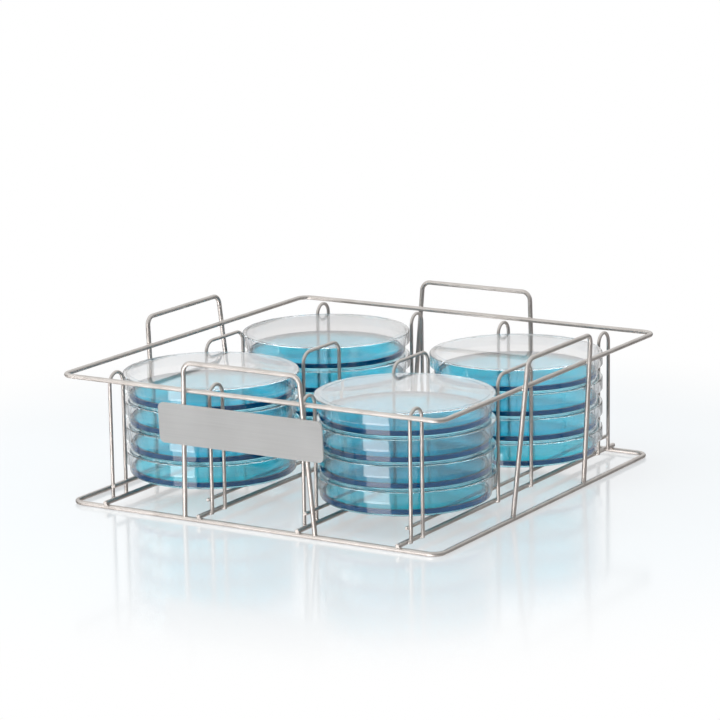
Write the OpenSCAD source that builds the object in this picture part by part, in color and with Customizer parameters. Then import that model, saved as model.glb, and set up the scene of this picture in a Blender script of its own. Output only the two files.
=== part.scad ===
// Welded wire rack for large petri dishes, loaded with four stacks of dishes.
// Millimetres, +Z up, origin on the bench under the middle of the rack.
// X runs along the side with the label plate, which faces -Y.

/* [Wires] */
// Diameter of the wire of the two rings
ring_wire_d = 4; // [3:0.5:5]
// Diameter of the wire of the handles
handle_wire_d = 4; // [3:0.5:5]
// Diameter of the floor rails
rail_wire_d = 4; // [3:0.5:5]
// Diameter of the wires that the dishes stand on
support_wire_d = 3; // [2.5:0.5:4]
// Diameter of the hairpin guides
guide_wire_d = 3; // [2.5:0.5:4]
// How far one wire sinks into the next at a weld
weld_set = 0.4; // [0.2:0.1:0.6]
// Chamfer on a cut wire end
end_chamfer = 0.4; // [0.2:0.1:0.6]
// How much the radius of a wire shrinks in a bend
bend_thin = 0.03; // [0.02:0.01:0.1]

/* [Rings] */
// Base ring, between wire axes along X
base_ring_x = 355; // [340:1:380]
// Base ring, between wire axes along Y
base_ring_y = 373.6; // [360:0.2:400]
// Rim ring, between wire axes along X
rim_ring_x = 365; // [356:1:390]
// Rim ring, between wire axes along Y
rim_ring_y = 379.2; // [374:0.2:410]
// Height of the rim ring's axis above the bench
rim_ring_z = 111.5; // [108:0.5:130]
// Bend radius of the rings' corners, at the axis
ring_bend_r = 10; // [8:1:20]

/* [Bays] */
// Distance between the middles of the stacks along X
bay_pitch_x = 190; // [182:1:200]
// Distance between the middles of the stacks along Y
bay_pitch_y = 184; // [180:1:190]
// Distance between the two rails under one stack
rail_gauge = 94; // [85:1:100]
// Free space between a dish and each guide leg
dish_play = 3.8; // [2:0.2:5]
// How far a rail runs past the axis of the base ring
rail_overhang = 3.4; // [2.5:0.1:5]
// Height of a support wire's axis above its rail's axis
support_rise = 11.4; // [9:0.2:16]
// How far a support wire runs past the axis of the last guide leg
support_overhang = 2.8; // [2:0.1:5]

/* [Guides] */
// Width of a front or back hairpin, between leg axes
guide_w = 18.8; // [14:0.2:22]
// Bend radius of the centre guides, at the axis
centre_guide_bend_r = 10; // [6:0.5:12]
// Height of the guides' top axis above the rim ring's axis
guide_over_rim = 1.3; // [0:0.1:10]
// How far a guide's foot reaches below its rail's axis
guide_foot_drop = 1.2; // [0.8:0.1:1.6]

/* [Handles] */
// Width of a handle at its top, between the corners of its axis
handle_top_w = 111; // [90:1:120]
// Width of a handle at the base ring, between leg axes
handle_foot_w = 126.6; // [122:0.2:150]
// Height of a handle's bar above the rim ring, between axes
handle_rise = 24.3; // [18:0.1:40]
// Bend radius of a handle, at the axis
handle_bend_r = 8; // [6:0.5:14]

/* [Label plate] */
// Width of the plate
plate_w = 158; // [140:1:180]
// Height of the plate
plate_h = 34.4; // [25:0.1:50]
// Thickness of the plate
plate_t = 1.5; // [1:0.1:3]
// Corner radius of the plate
plate_corner_r = 5; // [2:0.5:10]
// Middle of the plate, measured down its slope from the rim ring's axis
plate_drop = 28; // [22:0.5:40]
// Middle of the plate, measured from the middle of the rack along X
plate_shift = -2.4; // [-8:0.2:8]

/* [Dishes] */
// Outer diameter of a lid
dish_d = 150; // [140:1:155]
// Wall of a base and of a lid
dish_wall = 1.2; // [0.8:0.1:2]
// Height of a base
base_h = 20.1; // [16:0.1:24]
// Radial gap between a base and the skirt of its lid
lid_gap = 1.6; // [0.8:0.1:2]
// Height of a lid's skirt, below its top face
skirt_h = 10.4; // [7:0.1:13]
// Height of the vent ribs that keep a lid off its base
vent_h = 0.4; // [0.2:0.1:0.8]
// Height of the stacking ridge on a lid
ridge_h = 0.5; // [0.4:0.1:1.2]
// Width of the stacking ridge on a lid
ridge_w = 1; // [0.6:0.1:1.4]
// Height left between a ridge and the base above it
ridge_gap = 0.2; // [0.1:0.1:0.5]
// Width of the foot ring under a base
foot_w = 1.6; // [1:0.1:2.5]
// How far a foot ring lies inside the rim of its base
foot_inset = 3.8; // [3.6:0.1:5]
// Radial gap between a foot ring and the ridge it stands in
foot_gap = 0.5; // [0.3:0.1:1]
// How much the radius of a base grows from its floor to its rim
base_draft = 1.2; // [0.5:0.1:1.4]
// Radius of the outer edge of a base's floor
floor_edge_r = 2; // [1:0.1:2.1]
// Radius of the outer edge of a lid's top
lid_edge_r = 1; // [0.5:0.1:1.1]
// Width of a vent rib
vent_rib_w = 3.6; // [2:0.2:6]
// Depth of the culture medium
medium_h = 3.5; // [2:0.1:8]
// Radial gap between the medium and the wall of its base
medium_gap = 0.1; // [0.05:0.05:0.5]

/* [Hidden] */
$fn = 64;

// Angle that a bend reaches into the straight wire at each end.
bend_lap = 1;

ring_r = ring_wire_d / 2;
handle_r = handle_wire_d / 2;
rail_r = rail_wire_d / 2;
support_r = support_wire_d / 2;
guide_r = guide_wire_d / 2;

// The rails lie on the base ring, and the support wires run above them.
rail_z = ring_wire_d + rail_r - weld_set;
support_z = rail_z + support_rise;
rail_len = base_ring_y + 2 * rail_overhang;

// Each hairpin is welded to the outer side of its rail, seen from its own stack.
guide_offset = rail_r + guide_r - weld_set;
support_shift = guide_offset - (support_r + guide_r - weld_set);
rail_side = [-1, 1, -1, 1];
rail_x = [
  -(bay_pitch_x + rail_gauge) / 2,
  -(bay_pitch_x - rail_gauge) / 2,
  (bay_pitch_x - rail_gauge) / 2,
  (bay_pitch_x + rail_gauge) / 2
];

// Four legs stand round each stack, all at the same distance from its middle.
leg_reach = dish_d / 2 + dish_play + guide_r;
leg_along_y = sqrt(pow(leg_reach, 2) - pow(rail_gauge / 2 + guide_offset, 2));
inner_leg_y = bay_pitch_y / 2 + leg_along_y;
outer_leg_y = inner_leg_y + guide_w;
centre_guide_w = bay_pitch_y - 2 * leg_along_y;
guide_top_z = rim_ring_z + guide_over_rim;
guide_foot_z = rail_z - guide_foot_drop;
support_len = 2 * (outer_leg_y + support_overhang);

// The handles lean out from the base ring and pass outside the rim ring.
handle_out = ring_r + handle_r - weld_set;
rim_rise = rim_ring_z - ring_r;
lean_y = atan((rim_ring_y / 2 + handle_out - base_ring_y / 2) / rim_rise);
lean_x = atan((rim_ring_x / 2 + handle_out - base_ring_x / 2) / rim_rise);
bar_rise = rim_rise + handle_rise;
handle_foot = ring_r - weld_set;
plate_back = handle_r - weld_set;

// Radii of a dish, and the height that each dish adds to its stack.
lid_r = dish_d / 2;
base_r = lid_r - dish_wall - lid_gap;
floor_r = base_r - base_draft;
foot_r = base_r - foot_inset;
ridge_r = foot_r + foot_gap;
foot_h = ridge_h + ridge_gap;
floor_h = foot_h + dish_wall;
medium_r = floor_r - dish_wall - medium_gap;
dish_pitch = base_h + vent_h + dish_wall;
stack_z = support_z + support_r;

// Where each stack stands, and how far it was pushed off the middle of its bay, in parts of the play.
FRONT_LEFT = [-1, -1, -0.65, -0.2];
FRONT_RIGHT = [1, -1, -0.78, 0.4];
BACK_RIGHT = [1, 1, 0.4, 0.1];
BACK_LEFT = [-1, 1, -0.78, 0.4];
STACKS = [FRONT_LEFT, FRONT_RIGHT, BACK_RIGHT, BACK_LEFT];

// Straight wire along +Z with chamfered ends.
module straight_wire(r, length) {
  c = end_chamfer;
  rotate_extrude()
    polygon([[0, 0], [r - c, 0], [r, c], [r, length - c], [r - c, length], [0, length]]);
}

// Bend from +X towards +Y, round the origin. It is drawn a little thin by the bending, and its ends
// reach a little way into the straight wire on each side.
module wire_bend(r, bend_r, angle) {
  rotate([0, 0, -bend_lap])
    rotate_extrude(angle = angle + 2 * bend_lap)
      translate([bend_r, 0])
        circle(r = r - bend_thin);
}

// Rectangle of wire with round corners, lying in the XY plane.
module wire_ring(r, bend_r, size_x, size_y) {
  straight_x = size_x - 2 * bend_r;
  straight_y = size_y - 2 * bend_r;
  for (s = [-1, 1]) {
    translate([-straight_x / 2, s * size_y / 2, 0])
      rotate([0, 90, 0])
        cylinder(r = r, h = straight_x);
    translate([s * size_x / 2, straight_y / 2, 0])
      rotate([90, 0, 0])
        cylinder(r = r, h = straight_y);
  }
  for (corner = [[1, 1, 0], [-1, 1, 90], [-1, -1, 180], [1, -1, 270]])
    translate([corner[0] * straight_x / 2, corner[1] * straight_y / 2, 0])
      rotate([0, 0, corner[2]])
        wire_bend(r, bend_r, 90);
}

// The two legs of a hairpin in the YZ plane, from their feet to the given height.
module guide_legs(width, top_z) {
  leg_h = top_z - guide_foot_z;
  c = end_chamfer;
  for (s = [-1, 1])
    translate([0, s * width / 2, guide_foot_z])
      rotate([0, 0, 45])
        rotate_extrude()
          polygon([[0, 0], [guide_r - c, 0], [guide_r, c], [guide_r, leg_h], [0, leg_h]]);
}

// Narrow hairpin with a half-round top.
module round_hairpin(width) {
  bend_r = width / 2;
  guide_legs(width, guide_top_z - bend_r);
  translate([0, 0, guide_top_z - bend_r])
    rotate([90, 0, 90])
      wire_bend(guide_r, bend_r, 180);
}

// Wide hairpin with a straight bar between two bends.
module wide_hairpin(width, bend_r) {
  bar_w = width - 2 * bend_r;
  guide_legs(width, guide_top_z - bend_r);
  for (turn = [0, 180])
    rotate([0, 0, turn])
      translate([0, bar_w / 2, guide_top_z - bend_r])
        rotate([90, 0, 90])
          wire_bend(guide_r, bend_r, 90);
  translate([0, bar_w / 2, guide_top_z])
    rotate([90, 0, 0])
      cylinder(r = guide_r, h = bar_w);
}

// Straight wire along Y, centred on the given point.
module wire_along_y(r, length, x, z) {
  translate([x, -length / 2, z])
    rotate([-90, -90, 0])
      straight_wire(r, length);
}

module rail_bar(i) {
  wire_along_y(rail_r, rail_len, rail_x[i], rail_z);
}

module support_bar(i) {
  wire_along_y(support_r, support_len, rail_x[i] + rail_side[i] * support_shift, support_z);
}

// Straight part of a ring that lies along X, at the given distance in front of the middle.
module ring_front(y, z, length) {
  translate([-length / 2, -y, z])
    rotate([0, 90, 0])
      cylinder(r = ring_r, h = length);
}

module bottom_ring() {
  color("lightgray")
    translate([0, 0, ring_r])
      wire_ring(ring_r, ring_bend_r, base_ring_x, base_ring_y);
}

module top_ring() {
  color("lightgray")
    translate([0, 0, rim_ring_z])
      wire_ring(ring_r, ring_bend_r, rim_ring_x, rim_ring_y);
}

// A floor rail is notched where it sinks onto the base ring.
module floor_rail(i) {
  color("silver")
    difference() {
      rail_bar(i);
      for (s = [-1, 1])
        ring_front(s * base_ring_y / 2, ring_r, base_ring_x - 2 * ring_bend_r);
    }
}

module support_wire(i) {
  color("silver") support_bar(i);
}

// Stands a hairpin beside its rail, notched where it sinks onto the rail and the support wire.
module guide(i, middle_y) {
  color("gainsboro")
    difference() {
      translate([rail_x[i] + rail_side[i] * guide_offset, middle_y, 0])
        children();
      rail_bar(i);
      support_bar(i);
    }
}

module front_guide(i) {
  guide(i, -(inner_leg_y + outer_leg_y) / 2) round_hairpin(guide_w);
}

module back_guide(i) {
  guide(i, (inner_leg_y + outer_leg_y) / 2) round_hairpin(guide_w);
}

module centre_guide(i) {
  guide(i, 0) wide_hairpin(centre_guide_w, centre_guide_bend_r);
}

// U of wire in the XZ plane: its legs splay towards the feet, at height foot above the origin.
module splayed_bar(height, foot) {
  splay = atan((handle_foot_w - handle_top_w) / 2 / height);
  arc_x = handle_top_w / 2 - handle_bend_r * tan((90 - splay) / 2);
  arc_z = height - handle_bend_r;
  leg_len = (arc_z + handle_bend_r * sin(splay) - foot) / cos(splay);
  for (turn = [0, 180])
    rotate([0, 0, turn])
      translate([arc_x, 0, arc_z])
        rotate([0, -splay, 0]) {
          rotate([90, 0, 0])
            wire_bend(handle_r, handle_bend_r, 90 - splay);
          translate([handle_bend_r, 0, -leg_len])
            cylinder(r = handle_r, h = leg_len);
        }
  translate([-arc_x, 0, height])
    rotate([0, 90, 0])
      cylinder(r = handle_r, h = 2 * arc_x);
}

// Puts something drawn on the base ring's axis into the leaning plane of the front handle.
module in_handle_plane(base_y, lean) {
  translate([0, -base_y, ring_r])
    rotate([lean, 0, 0])
      children();
}

// A handle on the front side: it stands on the base ring and is notched by the rim ring.
module side_handle(base_y, rim_y, length, lean) {
  difference() {
    in_handle_plane(base_y, lean)
      splayed_bar(bar_rise / cos(lean), handle_foot);
    ring_front(base_y, ring_r, length);
    ring_front(rim_y, rim_ring_z, length);
  }
}

module plate_body() {
  in_handle_plane(base_ring_y / 2, lean_y)
    translate([plate_shift, -plate_back, rim_rise / cos(lean_y) - plate_drop])
      rotate([90, 0, 0])
        linear_extrude(height = plate_t) {
          square([plate_w - 2 * plate_corner_r, plate_h], center = true);
          square([plate_w, plate_h - 2 * plate_corner_r], center = true);
          for (x = [-1, 1], y = [-1, 1])
            translate([x * (plate_w / 2 - plate_corner_r), y * (plate_h / 2 - plate_corner_r)])
              circle(r = plate_corner_r);
        }
}

module front_handle() {
  color("silver")
    difference() {
      side_handle(base_ring_y / 2, rim_ring_y / 2, base_ring_x - 2 * ring_bend_r, lean_y);
      plate_body();
    }
}

module back_handle() {
  color("silver")
    rotate([0, 0, 180])
      side_handle(base_ring_y / 2, rim_ring_y / 2, base_ring_x - 2 * ring_bend_r, lean_y);
}

module right_handle() {
  color("silver")
    rotate([0, 0, 90])
      side_handle(base_ring_x / 2, rim_ring_x / 2, base_ring_y - 2 * ring_bend_r, lean_x);
}

module left_handle() {
  color("silver")
    rotate([0, 0, -90])
      side_handle(base_ring_x / 2, rim_ring_x / 2, base_ring_y - 2 * ring_bend_r, lean_x);
}

module label_plate() {
  color("tan") plate_body();
}

// Puts a dish part at its place: level 1 is the lowest dish of a stack.
module in_stack(stack, level) {
  translate([
    stack[0] * bay_pitch_x / 2 + stack[2] * dish_play,
    stack[1] * bay_pitch_y / 2 + stack[3] * dish_play,
    stack_z + (level - 1) * dish_pitch
  ])
    children();
}

// Half section of a base: drafted walls, a round edge at the floor and a foot ring below it.
module base_section() {
  difference() {
    union() {
      polygon([
        [0, foot_h],
        [floor_r - floor_edge_r, foot_h],
        [floor_r, foot_h + floor_edge_r],
        [base_r, base_h],
        [0, base_h]
      ]);
      translate([floor_r - floor_edge_r, foot_h + floor_edge_r])
        circle(r = floor_edge_r);
      translate([foot_r - foot_w, 0])
        square([foot_w, floor_h]);
    }
    polygon([[0, floor_h], [floor_r - dish_wall, floor_h], [base_r - dish_wall, base_h], [0, base_h]]);
  }
}

// Half section of a lid: a flat top with a round edge, a skirt, and the ridge that the next dish stands in.
module lid_section() {
  difference() {
    union() {
      translate([0, dish_pitch - skirt_h])
        square([lid_r, skirt_h - lid_edge_r]);
      translate([0, dish_pitch - lid_edge_r])
        square([lid_r - lid_edge_r, lid_edge_r]);
      translate([lid_r - lid_edge_r, dish_pitch - lid_edge_r])
        circle(r = lid_edge_r);
      translate([ridge_r, dish_pitch - dish_wall])
        square([ridge_w, dish_wall + ridge_h]);
    }
    translate([0, dish_pitch - skirt_h])
      square([lid_r - dish_wall, skirt_h - dish_wall]);
  }
}

module dish_base(stack, level) {
  color("lightcyan")
    in_stack(stack, level)
      rotate_extrude()
        base_section();
}

// The three vent ribs under a lid stand on the rim of the base.
module dish_lid(stack, level) {
  color("lightblue")
    in_stack(stack, level) {
      rotate_extrude()
        lid_section();
      for (turn = [30, 150, 270])
        rotate([0, 0, turn])
          translate([base_r - 2 * dish_wall, -vent_rib_w / 2, base_h])
            cube([2 * dish_wall, vent_rib_w, vent_h + dish_wall / 2]);
    }
}

// Poured disc in each base.
module culture_medium() {
  color("teal")
    for (stack = STACKS, level = [1:4])
      in_stack(stack, level)
        translate([0, 0, floor_h])
          cylinder(r = medium_r, h = medium_h);
}

bottom_ring();
top_ring();
floor_rail(0);  // floor_rail_1
floor_rail(1);  // floor_rail_2
floor_rail(2);  // floor_rail_3
floor_rail(3);  // floor_rail_4
support_wire(0);  // support_wire_1
support_wire(1);  // support_wire_2
support_wire(2);  // support_wire_3
support_wire(3);  // support_wire_4
front_guide(0);  // front_guide_1
front_guide(1);  // front_guide_2
front_guide(2);  // front_guide_3
front_guide(3);  // front_guide_4
back_guide(0);  // back_guide_1
back_guide(1);  // back_guide_2
back_guide(2);  // back_guide_3
back_guide(3);  // back_guide_4
centre_guide(0);  // centre_guide_1
centre_guide(1);  // centre_guide_2
centre_guide(2);  // centre_guide_3
centre_guide(3);  // centre_guide_4
front_handle();
right_handle();
back_handle();
left_handle();
label_plate();
dish_base(FRONT_LEFT, 1);  // base_front_left_1
dish_base(FRONT_LEFT, 2);  // base_front_left_2
dish_base(FRONT_LEFT, 3);  // base_front_left_3
dish_base(FRONT_LEFT, 4);  // base_front_left_4
dish_base(FRONT_RIGHT, 1);  // base_front_right_1
dish_base(FRONT_RIGHT, 2);  // base_front_right_2
dish_base(FRONT_RIGHT, 3);  // base_front_right_3
dish_base(FRONT_RIGHT, 4);  // base_front_right_4
dish_base(BACK_RIGHT, 1);  // base_back_right_1
dish_base(BACK_RIGHT, 2);  // base_back_right_2
dish_base(BACK_RIGHT, 3);  // base_back_right_3
dish_base(BACK_RIGHT, 4);  // base_back_right_4
dish_base(BACK_LEFT, 1);  // base_back_left_1
dish_base(BACK_LEFT, 2);  // base_back_left_2
dish_base(BACK_LEFT, 3);  // base_back_left_3
dish_base(BACK_LEFT, 4);  // base_back_left_4
dish_lid(FRONT_LEFT, 1);  // lid_front_left_1
dish_lid(FRONT_LEFT, 2);  // lid_front_left_2
dish_lid(FRONT_LEFT, 3);  // lid_front_left_3
dish_lid(FRONT_LEFT, 4);  // lid_front_left_4
dish_lid(FRONT_RIGHT, 1);  // lid_front_right_1
dish_lid(FRONT_RIGHT, 2);  // lid_front_right_2
dish_lid(FRONT_RIGHT, 3);  // lid_front_right_3
dish_lid(FRONT_RIGHT, 4);  // lid_front_right_4
dish_lid(BACK_RIGHT, 1);  // lid_back_right_1
dish_lid(BACK_RIGHT, 2);  // lid_back_right_2
dish_lid(BACK_RIGHT, 3);  // lid_back_right_3
dish_lid(BACK_RIGHT, 4);  // lid_back_right_4
dish_lid(BACK_LEFT, 1);  // lid_back_left_1
dish_lid(BACK_LEFT, 2);  // lid_back_left_2
dish_lid(BACK_LEFT, 3);  // lid_back_left_3
dish_lid(BACK_LEFT, 4);  // lid_back_left_4
culture_medium();
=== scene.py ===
import bpy
import bmesh
import math
from mathutils import Matrix, Vector


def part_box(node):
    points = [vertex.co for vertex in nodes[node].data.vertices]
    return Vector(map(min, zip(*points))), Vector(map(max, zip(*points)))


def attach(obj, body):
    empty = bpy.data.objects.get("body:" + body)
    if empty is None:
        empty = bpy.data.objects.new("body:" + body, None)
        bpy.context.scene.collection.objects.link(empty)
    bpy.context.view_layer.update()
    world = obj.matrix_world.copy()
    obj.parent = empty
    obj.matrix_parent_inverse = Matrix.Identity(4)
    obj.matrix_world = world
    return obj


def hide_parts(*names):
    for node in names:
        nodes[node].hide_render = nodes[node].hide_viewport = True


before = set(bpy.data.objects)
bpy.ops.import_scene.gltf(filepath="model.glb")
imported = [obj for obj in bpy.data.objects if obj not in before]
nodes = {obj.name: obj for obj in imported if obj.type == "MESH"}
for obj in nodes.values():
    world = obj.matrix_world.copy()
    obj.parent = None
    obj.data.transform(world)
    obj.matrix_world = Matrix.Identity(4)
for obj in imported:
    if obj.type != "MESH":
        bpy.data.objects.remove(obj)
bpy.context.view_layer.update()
stackNames = ("front_left", "front_right", "back_right", "back_left")
print("rack loaded:", len(nodes), "nodes")


def hexColour(code):
    # sRGB hex to linear
    def straight(value):
        value /= 255
        return value / 12.92 if value <= 0.04045 else ((value + 0.055) / 1.055) ** 2.4
    return tuple(straight(int(code[i:i + 2], 16)) for i in (1, 3, 5)) + (1.0,)


def addNode(tree, kind, settings=None, links=None):
    # settings: small first letter is a property, capital or number is an input
    node = tree.nodes.new(kind)
    for name, value in (settings or {}).items():
        if isinstance(name, int) or name[0].isupper():
            node.inputs[name].default_value = value
        else:
            setattr(node, name, value)
    for name, source in (links or {}).items():
        tree.links.new(source, node.inputs[name])
    return node


def newMaterial(name):
    material = bpy.data.materials.new(name)
    material.use_nodes = True
    material.node_tree.nodes.clear()
    return material, material.node_tree


def meshObject(name, mesh, *materials):
    piece = bpy.data.objects.new(name, mesh)
    bpy.context.scene.collection.objects.link(piece)
    for material in materials:
        mesh.materials.append(material)
    return piece


def dress(names, material):
    for name in names:
        piece = nodes[name]
        for i in range(len(piece.material_slots)):
            piece.material_slots[i].material = material


cameraSetup = {
    "place": (1.37105, -2.25951, 0.68075),
    "yaw": 30.81,      # degrees, turned left of +Y
    "pitch": -12.72,
    "roll": -0.76,
    "lens": 157.55,    # mm, on a sensor 36 mm wide
    "sensor": 36,
    "shiftX": -0.0411,
    "shiftY": 0.0336,
    "reach": 30,       # m, how far it sees
}


def makeCamera():
    yaw = math.radians(cameraSetup["yaw"])
    pitch = math.radians(cameraSetup["pitch"])
    roll = math.radians(cameraSetup["roll"])
    level = math.cos(pitch)
    ahead = Vector((-math.sin(yaw) * level, math.cos(yaw) * level, math.sin(pitch)))
    right = Vector((math.cos(yaw), math.sin(yaw), 0))
    up = right.cross(ahead)
    rolledRight = right * math.cos(roll) + up * math.sin(roll)
    rolledUp = up * math.cos(roll) - right * math.sin(roll)
    turned = Matrix((rolledRight, rolledUp, -ahead)).transposed().to_4x4()
    data = bpy.data.cameras.new("camera")
    data.lens = cameraSetup["lens"]
    data.sensor_width = cameraSetup["sensor"]
    data.shift_x = cameraSetup["shiftX"]
    data.shift_y = cameraSetup["shiftY"]
    data.clip_end = cameraSetup["reach"]
    camera = bpy.data.objects.new("camera", data)
    camera.matrix_world = Matrix.Translation(Vector(cameraSetup["place"])) @ turned
    bpy.context.scene.collection.objects.link(camera)
    bpy.context.scene.camera = camera


makeCamera()
print("camera set")


# the noise stays between these nearly everywhere
noiseSpan = {"From Min": 0.3, "From Max": 0.7}

wireLook = {
    "deep": "#CBC7C3",
    "pale": "#DAD7D4",
    "rough": (0.46, 0.56),
    "patches": 60,        # 17 mm
    "grain": 1400,        # 0.7 mm, coarser than the real grain so that it shows
    "grainDepth": 0.00006,
}


def drawnStainlessWire():
    # Stainless steel wire, drawn and then electropolished: bright warm grey with a satin shine,
    # faint ripples left by the die and slightly duller patches
    material, tree = newMaterial("drawn_stainless_wire")
    place = addNode(tree, "ShaderNodeTexCoord")
    patches = addNode(tree, "ShaderNodeTexNoise",
                      {"Scale": wireLook["patches"], "Detail": 3, "Roughness": 0.55},
                      {"Vector": place.outputs["Object"]})
    grain = addNode(tree, "ShaderNodeTexNoise", {"Scale": wireLook["grain"], "Detail": 2},
                    {"Vector": place.outputs["Object"]})
    tone = addNode(tree, "ShaderNodeValToRGB", None, {"Fac": patches.outputs["Fac"]})
    tone.color_ramp.elements[0].position = 0.35
    tone.color_ramp.elements[0].color = hexColour(wireLook["deep"])
    tone.color_ramp.elements[1].position = 0.65
    tone.color_ramp.elements[1].color = hexColour(wireLook["pale"])
    dull = addNode(tree, "ShaderNodeMapRange",
                   {**noiseSpan, "To Min": wireLook["rough"][0], "To Max": wireLook["rough"][1]},
                   {"Value": patches.outputs["Fac"]})
    bump = addNode(tree, "ShaderNodeBump", {"Strength": 0.25, "Distance": wireLook["grainDepth"]},
                   {"Height": grain.outputs["Fac"]})
    steel = addNode(tree, "ShaderNodeBsdfPrincipled", {"Metallic": 1.0},
                    {"Base Color": tone.outputs["Color"], "Roughness": dull.outputs["Result"],
                     "Normal": bump.outputs["Normal"]})
    addNode(tree, "ShaderNodeOutputMaterial", None, {"Surface": steel.outputs["BSDF"]})
    return material


weldLook = {
    "deep": "#D0CCC8",
    "pale": "#EAE8E5",
    "rough": 0.32,
    "pits": 900,          # 1.1 mm
    "pitDepth": 0.00015,
}


def weldedSteel():
    # Resistance weld in stainless wire, pickled clean: paler than the wire and finely pitted
    material, tree = newMaterial("pickled_weld")
    place = addNode(tree, "ShaderNodeTexCoord")
    pits = addNode(tree, "ShaderNodeTexNoise", {"Scale": weldLook["pits"], "Detail": 3, "Roughness": 0.6},
                   {"Vector": place.outputs["Object"]})
    tone = addNode(tree, "ShaderNodeValToRGB", None, {"Fac": pits.outputs["Fac"]})
    tone.color_ramp.elements[0].position = 0.3
    tone.color_ramp.elements[0].color = hexColour(weldLook["deep"])
    tone.color_ramp.elements[1].position = 0.7
    tone.color_ramp.elements[1].color = hexColour(weldLook["pale"])
    bump = addNode(tree, "ShaderNodeBump", {"Strength": 0.5, "Distance": weldLook["pitDepth"]},
                   {"Height": pits.outputs["Fac"]})
    steel = addNode(tree, "ShaderNodeBsdfPrincipled", {"Metallic": 1.0, "Roughness": weldLook["rough"]},
                    {"Base Color": tone.outputs["Color"], "Normal": bump.outputs["Normal"]})
    addNode(tree, "ShaderNodeOutputMaterial", None, {"Surface": steel.outputs["BSDF"]})
    return material


plateLook = {
    "deep": "#B8B4B1",
    "pale": "#C3BFBC",
    "rough": (0.56, 0.64),
    "metal": 0.2,         # low, so that the blasted face mirrors hardly anything
    "shine": 0.25,
    "brushed": (12, 700, 700),    # lines 1.4 mm apart, coarser than real ones so that they show
    "clouds": 25,
    "lineDepth": 0.00005,
}


def satinStainlessSheet():
    # Stainless sheet, brushed lengthwise and bead-blasted to satin: even light grey with faint
    # long lines, nearly matt
    material, tree = newMaterial("satin_stainless_sheet")
    place = addNode(tree, "ShaderNodeTexCoord")
    drawn = addNode(tree, "ShaderNodeMapping", {"Scale": plateLook["brushed"]},
                    {"Vector": place.outputs["Object"]})
    lines = addNode(tree, "ShaderNodeTexNoise", {"Scale": 1, "Detail": 4, "Roughness": 0.6},
                    {"Vector": drawn.outputs["Vector"]})
    clouds = addNode(tree, "ShaderNodeTexNoise", {"Scale": plateLook["clouds"], "Detail": 2},
                     {"Vector": place.outputs["Object"]})
    both = addNode(tree, "ShaderNodeMix", {"data_type": "FLOAT", "Factor": 0.5},
                   {"A": lines.outputs["Fac"], "B": clouds.outputs["Fac"]})
    tone = addNode(tree, "ShaderNodeValToRGB", None, {"Fac": both.outputs["Result"]})
    tone.color_ramp.elements[0].position = 0.35
    tone.color_ramp.elements[0].color = hexColour(plateLook["deep"])
    tone.color_ramp.elements[1].position = 0.65
    tone.color_ramp.elements[1].color = hexColour(plateLook["pale"])
    dull = addNode(tree, "ShaderNodeMapRange",
                   {**noiseSpan, "To Min": plateLook["rough"][0], "To Max": plateLook["rough"][1]},
                   {"Value": lines.outputs["Fac"]})
    bump = addNode(tree, "ShaderNodeBump", {"Strength": 0.15, "Distance": plateLook["lineDepth"]},
                   {"Height": lines.outputs["Fac"]})
    steel = addNode(tree, "ShaderNodeBsdfPrincipled",
                    {"Metallic": plateLook["metal"], "Specular IOR Level": plateLook["shine"]},
                    {"Base Color": tone.outputs["Color"], "Roughness": dull.outputs["Result"],
                     "Normal": bump.outputs["Normal"]})
    addNode(tree, "ShaderNodeOutputMaterial", None, {"Surface": steel.outputs["BSDF"]})
    return material


plasticLook = {
    "deep": "#FEFEFF",
    "pale": "#FFFFFF",
    "rough": (0.01, 0.03),
    "index": 1.45,
    "coatIndex": 1.5,
    "coatRough": 0.02,
    "waves": 45,          # 22 mm
    "waveDepth": 0.0002,
    "baseSkin": 0.0,      # weight of the glossy coat, which the lids have and the bases don't
    "lidSkin": 0.7,
    "baseTint": "#86F4FF",
    "baseDepth": 8.39,
    "lidTint": "#CEF4FF",
    "lidDepth": 4.2,
}


def clearPolystyrene(name, skin, tint, depth):
    # Crystal polystyrene, injection moulded: water-clear with a high gloss and slight waves where
    # the melt flowed; the lids mirror the room a little more than the bases
    material, tree = newMaterial(name)
    place = addNode(tree, "ShaderNodeTexCoord")
    flow = addNode(tree, "ShaderNodeTexNoise",
                   {"Scale": plasticLook["waves"], "Detail": 2, "Roughness": 0.45},
                   {"Vector": place.outputs["Object"]})
    tone = addNode(tree, "ShaderNodeValToRGB", None, {"Fac": flow.outputs["Fac"]})
    tone.color_ramp.elements[0].position = 0.3
    tone.color_ramp.elements[0].color = hexColour(plasticLook["deep"])
    tone.color_ramp.elements[1].position = 0.7
    tone.color_ramp.elements[1].color = hexColour(plasticLook["pale"])
    gloss = addNode(tree, "ShaderNodeMapRange",
                    {**noiseSpan, "To Min": plasticLook["rough"][0], "To Max": plasticLook["rough"][1]},
                    {"Value": flow.outputs["Fac"]})
    bump = addNode(tree, "ShaderNodeBump", {"Strength": 0.04, "Distance": plasticLook["waveDepth"]},
                   {"Height": flow.outputs["Fac"]})
    plastic = addNode(tree, "ShaderNodeBsdfPrincipled",
                      {"IOR": plasticLook["index"], "Transmission Weight": 1.0, "Coat Weight": skin,
                       "Coat IOR": plasticLook["coatIndex"], "Coat Roughness": plasticLook["coatRough"]},
                      {"Base Color": tone.outputs["Color"], "Roughness": gloss.outputs["Result"],
                       "Normal": bump.outputs["Normal"]})
    inside = addNode(tree, "ShaderNodeVolumeAbsorption", {"Color": hexColour(tint), "Density": depth})
    addNode(tree, "ShaderNodeOutputMaterial", None,
            {"Surface": plastic.outputs["BSDF"], "Volume": inside.outputs["Volume"]})
    return material


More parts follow.
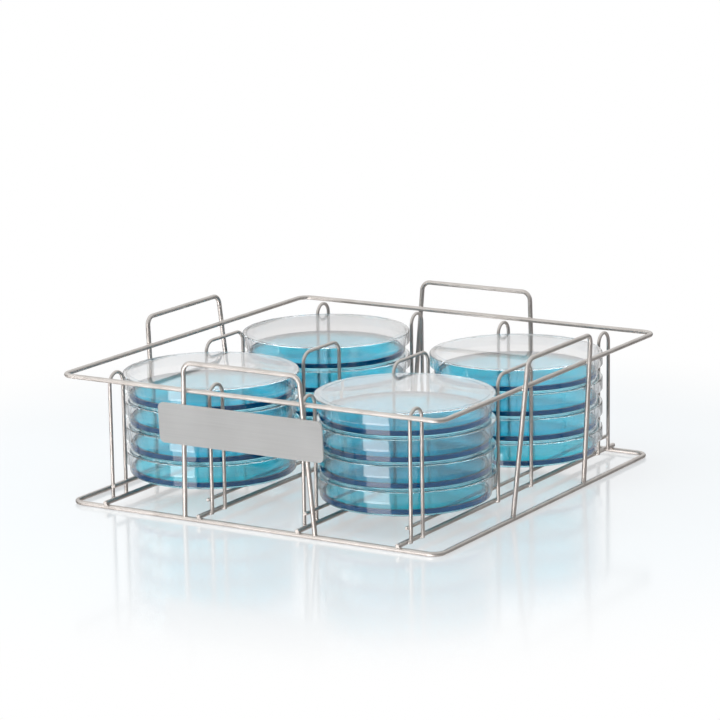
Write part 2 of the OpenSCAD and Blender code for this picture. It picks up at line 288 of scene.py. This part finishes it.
agarLook = {
    "index": 1.08,        # real gel has about 1.33, but its skin then mirrors the white room
    "shine": 0.3,
    "shineTint": "#95E7FF",
    "dye": (0.02, 0.933, 0.968, 1.0),     # linear, as the steps of hex are too coarse for it
    "dyeDepth": 570,
    "clouds": 90,         # 11 mm
    "soften": 0.08,       # how much duller the cloudy places are
    "faceDeep": "#FBFEFF",
    "facePale": "#FFFFFF",
    "faceDull": 0.06,
    # the rim colours are painted shade: the dark that deep gel shows when looked into edge-on
    "rimShadeDeep": "#005A94",
    "rimShadePale": "#0668A4",
    "rimDull": 0.3,
    "paintedShadeSlope": 0.3,      # faces whose normals rise less than this belong to the rim, which gets the painted navy shade
}


def tintedAgar(name, deep, pale, clearness, dull):
    # Agar gel with a blue-green dye, poured and set: clear but slightly cloudy, cyan to teal
    # through its depth, with a soft skin; its rim gets an opaque painted navy shade, for the dark that the
    # gel shows edge-on
    material, tree = newMaterial(name)
    place = addNode(tree, "ShaderNodeTexCoord")
    cloud = addNode(tree, "ShaderNodeTexNoise",
                    {"Scale": agarLook["clouds"], "Detail": 3, "Roughness": 0.5},
                    {"Vector": place.outputs["Object"]})
    tone = addNode(tree, "ShaderNodeValToRGB", None, {"Fac": cloud.outputs["Fac"]})
    tone.color_ramp.elements[0].position = 0.3
    tone.color_ramp.elements[0].color = hexColour(deep)
    tone.color_ramp.elements[1].position = 0.7
    tone.color_ramp.elements[1].color = hexColour(pale)
    soft = addNode(tree, "ShaderNodeMapRange",
                   {**noiseSpan, "To Min": dull, "To Max": dull + agarLook["soften"]},
                   {"Value": cloud.outputs["Fac"]})
    gel = addNode(tree, "ShaderNodeBsdfPrincipled",
                  {"IOR": agarLook["index"], "Transmission Weight": clearness,
                   "Specular IOR Level": agarLook["shine"],
                   "Specular Tint": hexColour(agarLook["shineTint"])},
                  {"Base Color": tone.outputs["Color"], "Roughness": soft.outputs["Result"]})
    inside = addNode(tree, "ShaderNodeVolumeAbsorption",
                     {"Color": agarLook["dye"], "Density": agarLook["dyeDepth"]})
    addNode(tree, "ShaderNodeOutputMaterial", None,
            {"Surface": gel.outputs["BSDF"], "Volume": inside.outputs["Volume"]})
    return material


sheetLook = {
    # pale blue that only shows in the shade under the rack: painted blue shade for light that the dishes
    # colour
    "paint": "#E7F6FF",
    "rough": (0.09, 0.12),
    "haze": 6,
    "index": 1.75,
    "glow": 0.68,         # share of plain white in the sheet as the camera sees it
    "glowThrough": 0.45,  # and as it shows through the dishes
    "fade": (0.3, 0.58),  # from the middle, where the sheet starts to burn out and where it is white
}


def whiteSheet():
    # Glossy white acrylic sheet on the table: shows white, keeps the shadow with a painted blue tint, and a
    # faint mirror image
    material, tree = newMaterial("white_acrylic")
    place = addNode(tree, "ShaderNodeTexCoord")
    haze = addNode(tree, "ShaderNodeTexNoise", {"Scale": sheetLook["haze"], "Detail": 2},
                   {"Vector": place.outputs["Object"]})
    rough = addNode(tree, "ShaderNodeMapRange",
                    {**noiseSpan, "To Min": sheetLook["rough"][0], "To Max": sheetLook["rough"][1]},
                    {"Value": haze.outputs["Fac"]})
    # the sheet's diffuse colour carries the painted blue shade
    paint = addNode(tree, "ShaderNodeBsdfDiffuse", {"Color": hexColour(sheetLook["paint"])})
    glow = addNode(tree, "ShaderNodeEmission", {"Color": (1, 1, 1, 1), "Strength": 1.0})
    ray = addNode(tree, "ShaderNodeLightPath")
    seen = addNode(tree, "ShaderNodeMath", {"operation": "MAXIMUM"},
                   {0: ray.outputs["Is Camera Ray"], 1: ray.outputs["Is Transmission Ray"]})
    through = addNode(tree, "ShaderNodeMath", {"operation": "MULTIPLY", 1: sheetLook["glowThrough"]},
                      {0: ray.outputs["Is Transmission Ray"]})
    share = addNode(tree, "ShaderNodeMath", {"operation": "MULTIPLY_ADD", 1: sheetLook["glow"]},
                    {0: ray.outputs["Is Camera Ray"], 2: through.outputs["Value"]})
    body = addNode(tree, "ShaderNodeMixShader", None,
                   {0: share.outputs["Value"], 1: paint.outputs["BSDF"], 2: glow.outputs["Emission"]})
    mirror = addNode(tree, "ShaderNodeBsdfGlossy", {"Color": (1, 1, 1, 1)},
                     {"Roughness": rough.outputs["Result"]})
    edge = addNode(tree, "ShaderNodeFresnel", {"IOR": sheetLook["index"]})
    surface = addNode(tree, "ShaderNodeMixShader", None,
                      {0: edge.outputs["Fac"], 1: body.outputs["Shader"], 2: mirror.outputs["BSDF"]})
    # further out the sheet burns out to white
    far = addNode(tree, "ShaderNodeVectorMath", {"operation": "LENGTH"}, {0: place.outputs["Object"]})
    fade = addNode(tree, "ShaderNodeMapRange",
                   {"interpolation_type": "SMOOTHSTEP", "To Min": 0.0, "To Max": 1.0,
                    "From Min": sheetLook["fade"][0], "From Max": sheetLook["fade"][1]},
                   {"Value": far.outputs["Value"]})
    burnt = addNode(tree, "ShaderNodeMath", {"operation": "MULTIPLY"},
                    {0: fade.outputs["Result"], 1: seen.outputs["Value"]})
    whole = addNode(tree, "ShaderNodeMixShader", None,
                    {0: burnt.outputs["Value"], 1: surface.outputs["Shader"], 2: glow.outputs["Emission"]})
    addNode(tree, "ShaderNodeOutputMaterial", None, {"Surface": whole.outputs["Shader"]})
    return material


wireSteel = drawnStainlessWire()
weldSteel = weldedSteel()
plateSteel = satinStainlessSheet()
clearPlastic = clearPolystyrene("clear_polystyrene", plasticLook["baseSkin"],
                                plasticLook["baseTint"], plasticLook["baseDepth"])
lidPlastic = clearPolystyrene("clear_polystyrene_lid", plasticLook["lidSkin"],
                              plasticLook["lidTint"], plasticLook["lidDepth"])
agarFace = tintedAgar("tinted_agar", agarLook["faceDeep"], agarLook["facePale"],
                      1.0, agarLook["faceDull"])
# opaque navy copy of the gel for its side faces: painted shade, not the gel's own colour
agarRim = tintedAgar("tinted_agar_rim", agarLook["rimShadeDeep"], agarLook["rimShadePale"],
                     0.0, agarLook["rimDull"])
print("materials made")


dishNames = [name for name in nodes if name.startswith(("base_", "lid_"))]
otherNames = dishNames + ["label_plate", "culture_medium"]
wireNames = [name for name in nodes if name not in otherNames]
dress(wireNames, wireSteel)
dress([name for name in dishNames if name.startswith("base_")], clearPlastic)
dress([name for name in dishNames if name.startswith("lid_")], lidPlastic)
dress(["label_plate"], plateSteel)
print("nodes dressed:", len(wireNames), "wires,", len(dishNames), "dish parts")


medium = {
    "lift": 0.00005,      # left under the gel
    "rise": 0.0004,       # climb of the gel at the wall
    "creep": 0.003,       # width of that climb
    "edgeR": 0.0005,
    "edgeSteps": 3,
    "wallGap": 0.00005,   # the climb starts this far off the wall
    "climbSteps": 6,
    "climbCurve": 2.4,
    "steps": 128,         # round the disc
    "levels": 4,          # dishes in a stack
}

search = {
    "reach": 0.08,        # from the middle of a dish, past its own rim and short of its neighbours
    "level": 0.0002,      # vertices this near the bottom belong to it
    "height": 0.012,      # less than the way up to the next dish
}


def discOutline(radius, bottom, top):
    # distance from the axis and height, from the middle of the underside round to the middle of the top
    edgeR = medium["edgeR"]
    outline = [(0, bottom), (radius - 2 * edgeR, bottom)]
    for i in range(medium["edgeSteps"] + 1):
        angle = math.radians(-90 + 90 / medium["edgeSteps"] * i)
        outline.append((radius - edgeR + edgeR * math.cos(angle), bottom + edgeR + edgeR * math.sin(angle)))
    outline.append((radius, top))
    outline.append((radius - medium["wallGap"], top + medium["rise"]))
    for i in range(1, medium["climbSteps"] + 1):
        t = i / medium["climbSteps"]
        height = medium["rise"] * (1 - t) ** medium["climbCurve"]
        outline.append((radius - medium["creep"] * t, top + height))
    outline.append((radius - medium["creep"] - edgeR, top))
    outline.append((0, top))
    return outline


def spin(shape, middle, outline):
    steps = medium["steps"]
    rings = []
    for r, z in outline:
        if r == 0:
            rings.append([shape.verts.new((middle.x, middle.y, z))])
        else:
            rings.append([shape.verts.new((middle.x + r * math.cos(2 * math.pi * k / steps),
                                           middle.y + r * math.sin(2 * math.pi * k / steps), z))
                          for k in range(steps)])
    for lower, upper in zip(rings, rings[1:]):
        for k in range(steps):
            n = (k + 1) % steps
            if len(lower) == 1:
                shape.faces.new((lower[0], upper[n], upper[k]))
            elif len(upper) == 1:
                shape.faces.new((lower[k], lower[n], upper[0]))
            else:
                shape.faces.new((lower[k], lower[n], upper[n], upper[k]))


def pourMedium():
    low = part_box("culture_medium")[0]
    mesh = bpy.data.meshes.new("poured_medium")
    shape = bmesh.new()
    source = nodes["culture_medium"].data
    for stack in stackNames:
        for level in range(1, medium["levels"] + 1):
            baseLow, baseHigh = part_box("base_%s_%d" % (stack, level))
            middle = (baseLow + baseHigh) / 2
            discBottom = low.z + baseLow.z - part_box("base_%s_1" % stack)[0].z
            column = [v.co for v in source.vertices if (v.co.xy - middle.xy).length < search["reach"]]
            near = [co for co in column if abs(co.z - discBottom) < search["level"]]
            radius = max((co.xy - middle.xy).length for co in near)
            top = max(co.z for co in column if co.z < discBottom + search["height"])
            spin(shape, middle, discOutline(radius, discBottom + medium["lift"], top))
    bmesh.ops.recalc_face_normals(shape, faces=shape.faces)
    shape.normal_update()
    for face in shape.faces:
        face.smooth = len(face.verts) == 4
        # side faces take the painted navy shade
        face.material_index = 1 if abs(face.normal.z) < agarLook["paintedShadeSlope"] else 0
    shape.to_mesh(mesh)
    shape.free()
    piece = meshObject("poured_medium", mesh, agarFace, agarRim)
    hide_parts("culture_medium")
    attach(piece, "root")


pourMedium()
print("medium poured")


weld = {
    "guideSize": 0.0019,    # half length of a bead on a guide or a rail
    "guideDepth": 0.0012,
    "ringSize": 0.0025,     # half length of a bead on the rings
    "ringDepth": 0.0013,
    "guideSink": 0.0003,    # how deep a bead's middle lies in the wire
    "railSink": 0.0002,
    "vary": 0.16,
    "seed": 7,
    "detail": 2,
    "lumps": 1.6,
    "lumpDepth": 0.3,
}

handleForm = {
    "wire": 0.002,          # radius of the wire
    "taper": 0.1232,        # the legs stand this share closer together at the bar than at the feet
    "rimShare": 0.818,      # the rim ring crosses them this share of the way up
}


def weldPoints():
    # place, outward direction and half sizes of every bead
    beads = []
    guideBead = (weld["guideSize"], weld["guideDepth"])
    ringBead = (weld["ringSize"], weld["ringDepth"])
    for guide in [name for name in nodes if "guide" in name]:
        low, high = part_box(guide)
        radius = (high.x - low.x) / 2
        x = (low.x + high.x) / 2
        for wire in ["floor_rail_" + guide[-1], "support_wire_" + guide[-1]]:
            wireLow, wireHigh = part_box(wire)
            side = math.copysign(1, (wireLow.x + wireHigh.x) / 2 - x)
            z = (wireLow.z + wireHigh.z) / 2
            for y in (low.y + radius, high.y - radius):
                place = (x + side * (radius - weld["guideSink"]), y, z)
                beads.append((place, (side, 0, 0), *guideBead))
    ringLow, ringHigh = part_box("bottom_ring")
    ringRadius = (ringHigh.z - ringLow.z) / 2
    for rail in [name for name in nodes if name.startswith("floor_rail")]:
        low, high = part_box(rail)
        for y in (ringLow.y + ringRadius, ringHigh.y - ringRadius):
            place = ((low.x + high.x) / 2, y, ringHigh.z - weld["railSink"])
            beads.append((place, (0, 0, 1), *guideBead))
    rimLow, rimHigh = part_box("top_ring")
    rimZ = (rimLow.z + rimHigh.z) / 2
    atRim = 1 - handleForm["taper"] * handleForm["rimShare"]
    for handle in [name for name in nodes if name.endswith("_handle")]:
        low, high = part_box(handle)
        middle = (low + high) / 2
        alongX = high.x - low.x > high.y - low.y
        for end in (-1, 1):
            if alongX:
                legX = (high.x - middle.x - handleForm["wire"]) * end
                side = math.copysign(1, middle.y)
                foot = (legX, side * (ringHigh.y - ringRadius), ringHigh.z)
                rim = (legX * atRim, side * rimHigh.y, rimZ)
                outward = (0, side, 0)
            else:
                legY = (high.y - middle.y - handleForm["wire"]) * end
                side = math.copysign(1, middle.x)
                foot = (side * (ringHigh.x - ringRadius), legY, ringHigh.z)
                rim = (side * rimHigh.x, legY * atRim, rimZ)
                outward = (side, 0, 0)
            beads.append((foot, (0, 0, 1), *ringBead))
            beads.append((rim, outward, *ringBead))
    return beads


def weldTree():
    tree = bpy.data.node_groups.new("weld_beads", "GeometryNodeTree")
    face = tree.interface
    face.new_socket("Points", in_out="INPUT", socket_type="NodeSocketGeometry")
    face.new_socket("Detail", in_out="INPUT", socket_type="NodeSocketInt")
    face.new_socket("Size Variation", in_out="INPUT", socket_type="NodeSocketFloat")
    face.new_socket("Seed", in_out="INPUT", socket_type="NodeSocketInt")
    face.new_socket("Material", in_out="INPUT", socket_type="NodeSocketMaterial")
    face.new_socket("Beads", in_out="OUTPUT", socket_type="NodeSocketGeometry")
    given = addNode(tree, "NodeGroupInput")
    bead = addNode(tree, "GeometryNodeMeshIcoSphere", {"Radius": 1.0},
                   {"Subdivisions": given.outputs["Detail"]})
    # lumps go in as far as out
    lumps = addNode(tree, "ShaderNodeTexNoise", {"Scale": weld["lumps"], "Detail": 1})
    normal = addNode(tree, "GeometryNodeInputNormal")
    little = addNode(tree, "ShaderNodeMath",
                     {"operation": "MULTIPLY_ADD", 1: weld["lumpDepth"], 2: -weld["lumpDepth"] / 2},
                     {0: lumps.outputs["Fac"]})
    lumpy = addNode(tree, "ShaderNodeVectorMath", {"operation": "SCALE"},
                    {0: normal.outputs["Normal"], "Scale": little.outputs["Value"]})
    shaped = addNode(tree, "GeometryNodeSetPosition", None,
                     {"Geometry": bead.outputs["Mesh"], "Offset": lumpy.outputs["Vector"]})
    outward = addNode(tree, "GeometryNodeInputNamedAttribute",
                      {"data_type": "FLOAT_VECTOR", "Name": "outward"})
    turned = addNode(tree, "FunctionNodeAlignRotationToVector", {"axis": "Z"},
                     {"Vector": outward.outputs["Attribute"]})
    sizes = addNode(tree, "GeometryNodeInputNamedAttribute",
                    {"data_type": "FLOAT_VECTOR", "Name": "sizes"})
    least = addNode(tree, "ShaderNodeMath", {"operation": "SUBTRACT", 0: 1.0},
                    {1: given.outputs["Size Variation"]})
    most = addNode(tree, "ShaderNodeMath", {"operation": "ADD", 0: 1.0},
                   {1: given.outputs["Size Variation"]})
    # 2 and 3 are the least and the most of a plain number
    chance = addNode(tree, "FunctionNodeRandomValue", {"data_type": "FLOAT"},
                     {"Seed": given.outputs["Seed"], 2: least.outputs["Value"], 3: most.outputs["Value"]})
    scaled = addNode(tree, "ShaderNodeVectorMath", {"operation": "SCALE"},
                     {0: sizes.outputs["Attribute"], "Scale": chance.outputs[1]})
    placed = addNode(tree, "GeometryNodeInstanceOnPoints", None,
                     {"Points": given.outputs["Points"], "Instance": shaped.outputs["Geometry"],
                      "Rotation": turned.outputs["Rotation"], "Scale": scaled.outputs["Vector"]})
    real = addNode(tree, "GeometryNodeRealizeInstances", None, {"Geometry": placed.outputs["Instances"]})
    smooth = addNode(tree, "GeometryNodeSetShadeSmooth", None, {"Geometry": real.outputs["Geometry"]})
    coloured = addNode(tree, "GeometryNodeSetMaterial", None,
                       {"Geometry": smooth.outputs["Geometry"], "Material": given.outputs["Material"]})
    addNode(tree, "NodeGroupOutput", None, {0: coloured.outputs["Geometry"]})
    return tree


def makeWelds():
    beads = weldPoints()
    points = bpy.data.meshes.new("weld_points")
    points.from_pydata([place for place, outward, size, depth in beads], [], [])
    outwards = points.attributes.new("outward", "FLOAT_VECTOR", "POINT")
    sizes = points.attributes.new("sizes", "FLOAT_VECTOR", "POINT")
    for i, (place, outward, size, depth) in enumerate(beads):
        outwards.data[i].vector = outward
        sizes.data[i].vector = (size, size, depth)
    holder = bpy.data.objects.new("weld_points", points)
    bpy.context.scene.collection.objects.link(holder)
    tree = weldTree()
    modifier = holder.modifiers.new("beads", "NODES")
    modifier.node_group = tree
    values = {"Detail": weld["detail"], "Size Variation": weld["vary"], "Seed": weld["seed"],
              "Material": weldSteel}
    for item in tree.interface.items_tree:
        if item.name in values:
            modifier[item.identifier] = values[item.name]
    graph = bpy.context.evaluated_depsgraph_get()
    mesh = bpy.data.meshes.new_from_object(holder.evaluated_get(graph))
    holder.modifiers.remove(modifier)
    bpy.data.objects.remove(holder)
    mesh.name = "weld_beads"
    piece = meshObject("weld_beads", mesh)      # Set Material has given it its steel
    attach(piece, "root")
    return len(beads)


print("welds laid:", makeWelds())


studio = {
    "floorSize": 14,
    "floorDrop": 0.0001,      # the sheet lies this far under the rack
    "keyPlace": (-0.5, -0.5, 1.9), "keyTarget": (0, 0, 0), "keySize": 1.8, "keyPower": 17,
    "fillPlace": (-1.5, -1.6, 0.9), "fillTarget": (0, 0, 0.05), "fillSize": 1.2, "fillPower": 6,
    "lampColour": (1.0, 0.97, 0.93),
    "around": 0.78,           # level of the world on matt surfaces
    "aroundColour": (0.9, 0.96, 1.0, 1),
    "brightTowards": (0.4, 0.5, 0.75),    # to the camera's left, away from it, up
    "brightSpread": (-0.7, 0.9),
    "cameraSide": 0.4,        # what shiny surfaces see low down near the camera, on its right
    "brightSide": 1.0,        # and what they see high up behind the rack, on the left
    "wallEdge": (0.19, 0.225),    # heights here are sines of the angle above the horizon
    "wall": 0.45,             # how much of the room's light is left below that edge
    "wallColour": (1.0, 0.92, 0.89, 1),
    "roomColour": (1.0, 0.984, 0.972, 1),
    "tableEdge": (-0.3, -0.25),
    "tableNear": 0.5,         # what they see steeply downwards
    "tableFar": 0.1,          # and from there up to the horizon
    "boxTurn": 38,            # degrees from the camera to the softbox, to its left
    "boxWidth": 0.3,          # half width over distance
    "boxBlur": 0.03,
    "boxEnds": (-0.1, 0.1),
    "boxLow": 5.0,            # the softbox mirrored in the table
    "boxHigh": 0.0,           # the softbox itself, left out
}


def makeFloor():
    half = studio["floorSize"] / 2
    z = -studio["floorDrop"]
    corners = [(-half, -half, z), (half, -half, z), (half, half, z), (-half, half, z)]
    mesh = bpy.data.meshes.new("floor")
    mesh.from_pydata(corners, [], [(0, 1, 2, 3)])
    floor = meshObject("floor", mesh, whiteSheet())
    floor.visible_glossy = False      # shiny surfaces see the table's part of the world instead


def makeWorld():
    world = bpy.data.worlds.new("white_room")
    bpy.context.scene.world = world
    world.use_nodes = True
    tree = world.node_tree
    tree.nodes.clear()
    ray = addNode(tree, "ShaderNodeLightPath")
    direction = addNode(tree, "ShaderNodeTexCoord").outputs["Generated"]
    yaw = math.radians(cameraSetup["yaw"])
    left = Vector((-math.cos(yaw), -math.sin(yaw), 0))
    back = Vector((-math.sin(yaw), math.cos(yaw), 0))
    leftPart, backPart, upPart = studio["brightTowards"]
    bright = (left * leftPart + back * backPart + Vector((0, 0, upPart))).normalized()
    towards = addNode(tree, "ShaderNodeVectorMath", {"operation": "DOT_PRODUCT", 1: bright}, {0: direction})
    front = addNode(tree, "ShaderNodeMapRange",
                    {"interpolation_type": "SMOOTHSTEP",
                     "From Min": studio["brightSpread"][0], "From Max": studio["brightSpread"][1],
                     "To Min": studio["cameraSide"], "To Max": studio["brightSide"]},
                    {"Value": towards.outputs["Value"]})
    # tall softbox beside the camera, of which only the mirror image in the table shows
    boxTurn = math.radians(cameraSetup["yaw"] - studio["boxTurn"])
    boxMiddle = Vector((math.sin(boxTurn), -math.cos(boxTurn), 0))
    boxSide = Vector((math.cos(boxTurn), math.sin(boxTurn), 0))
    ahead = addNode(tree, "ShaderNodeVectorMath", {"operation": "DOT_PRODUCT", 1: boxMiddle},
                    {0: direction})
    across = addNode(tree, "ShaderNodeVectorMath", {"operation": "DOT_PRODUCT", 1: boxSide},
                     {0: direction})
    slope = addNode(tree, "ShaderNodeMath", {"operation": "DIVIDE"},
                    {0: across.outputs["Value"], 1: ahead.outputs["Value"]})
    width = addNode(tree, "ShaderNodeMath", {"operation": "ABSOLUTE"}, {0: slope.outputs["Value"]})
    inBox = addNode(tree, "ShaderNodeMapRange",
                    {"interpolation_type": "SMOOTHSTEP", "To Min": 1.0, "To Max": 0.0,
                     "From Min": studio["boxWidth"] - studio["boxBlur"],
                     "From Max": studio["boxWidth"] + studio["boxBlur"]},
                    {"Value": width.outputs["Value"]})
    facing = addNode(tree, "ShaderNodeMath", {"operation": "GREATER_THAN", 1: 0.0},
                     {0: ahead.outputs["Value"]})
    boxHere = addNode(tree, "ShaderNodeMath", {"operation": "MULTIPLY"},
                      {0: inBox.outputs["Result"], 1: facing.outputs["Value"]})
    height = addNode(tree, "ShaderNodeSeparateXYZ", None, {0: direction}).outputs["Z"]
    below = addNode(tree, "ShaderNodeMath", {"operation": "LESS_THAN", 1: 0.0}, {0: height})
    # half bright where the table is looked down on, and dark from there up to the horizon
    table = addNode(tree, "ShaderNodeMapRange",
                    {"interpolation_type": "SMOOTHSTEP",
                     "From Min": studio["tableEdge"][0], "From Max": studio["tableEdge"][1],
                     "To Min": studio["tableNear"], "To Max": studio["tableFar"]},
                    {"Value": height})
    # the room is darker and warmer low down
    wall = addNode(tree, "ShaderNodeMapRange",
                   {"interpolation_type": "SMOOTHSTEP", "To Min": studio["wall"], "To Max": 1.0,
                    "From Min": studio["wallEdge"][0], "From Max": studio["wallEdge"][1]},
                   {"Value": height})
    room = addNode(tree, "ShaderNodeMath", {"operation": "MULTIPLY"},
                   {0: front.outputs["Result"], 1: wall.outputs["Result"]})
    level = addNode(tree, "ShaderNodeMix", {"data_type": "FLOAT"},
                    {"Factor": below.outputs["Value"], "A": room.outputs["Value"],
                     "B": table.outputs["Result"]})
    boxLevel = addNode(tree, "ShaderNodeMapRange",
                       {"interpolation_type": "SMOOTHSTEP",
                        "From Min": studio["boxEnds"][0], "From Max": studio["boxEnds"][1],
                        "To Min": studio["boxLow"], "To Max": studio["boxHigh"]},
                       {"Value": height})
    total = addNode(tree, "ShaderNodeMath", {"operation": "MULTIPLY_ADD"},
                    {0: boxHere.outputs["Value"], 1: boxLevel.outputs["Result"],
                     2: level.outputs["Result"]})
    white = addNode(tree, "ShaderNodeBackground", {"Color": (1, 1, 1, 1), "Strength": 1.0})
    # 6 and 7 are the two colours of a colour mix, and 2 its result
    blush = addNode(tree, "ShaderNodeMix",
                    {"data_type": "RGBA", 6: studio["wallColour"], 7: studio["roomColour"]},
                    {"Factor": wall.outputs["Result"]})
    shine = addNode(tree, "ShaderNodeBackground", None,
                    {"Color": blush.outputs[2], "Strength": total.outputs["Value"]})
    soft = addNode(tree, "ShaderNodeBackground",
                   {"Color": studio["aroundColour"], "Strength": studio["around"]})
    seen = addNode(tree, "ShaderNodeMath", {"operation": "MAXIMUM"},
                   {0: ray.outputs["Is Camera Ray"], 1: ray.outputs["Is Transmission Ray"]})
    first = addNode(tree, "ShaderNodeMixShader", None,
                    {0: ray.outputs["Is Glossy Ray"], 1: soft.outputs["Background"],
                     2: shine.outputs["Background"]})
    second = addNode(tree, "ShaderNodeMixShader", None,
                     {0: seen.outputs["Value"], 1: first.outputs["Shader"], 2: white.outputs["Background"]})
    addNode(tree, "ShaderNodeOutputWorld", None, {"Surface": second.outputs["Shader"]})


def addLamp(name, place, target, size, power, shown):
    # a lamp that isn't shown still lights, but no mirror image of it shows, and no glass shows it
    data = bpy.data.lights.new(name, "AREA")
    data.shape = "SQUARE"
    data.size = size
    data.energy = power
    data.color = studio["lampColour"]
    lamp = bpy.data.objects.new(name, data)
    lamp.location = place
    lamp.rotation_euler = (Vector(target) - Vector(place)).to_track_quat("-Z", "Y").to_euler()
    lamp.visible_glossy = shown
    lamp.visible_transmission = shown
    bpy.context.scene.collection.objects.link(lamp)


makeFloor()
makeWorld()
addLamp("key_lamp", studio["keyPlace"], studio["keyTarget"],
        studio["keySize"], studio["keyPower"], False)
addLamp("fill_lamp", studio["fillPlace"], studio["fillTarget"],
        studio["fillSize"], studio["fillPower"], True)

scene = bpy.context.scene
scene.view_settings.view_transform = "Standard"
# light runs many times to and fro inside the clear floors and lids, which go dark with fewer bounces
scene.cycles.max_bounces = 64
scene.cycles.transmission_bounces = 64
scene.cycles.transparent_max_bounces = 32
scene.cycles.glossy_bounces = 64
scene.cycles.diffuse_bounces = 4
scene.cycles.caustics_refractive = True
scene.cycles.use_denoising = True
print("studio lit")
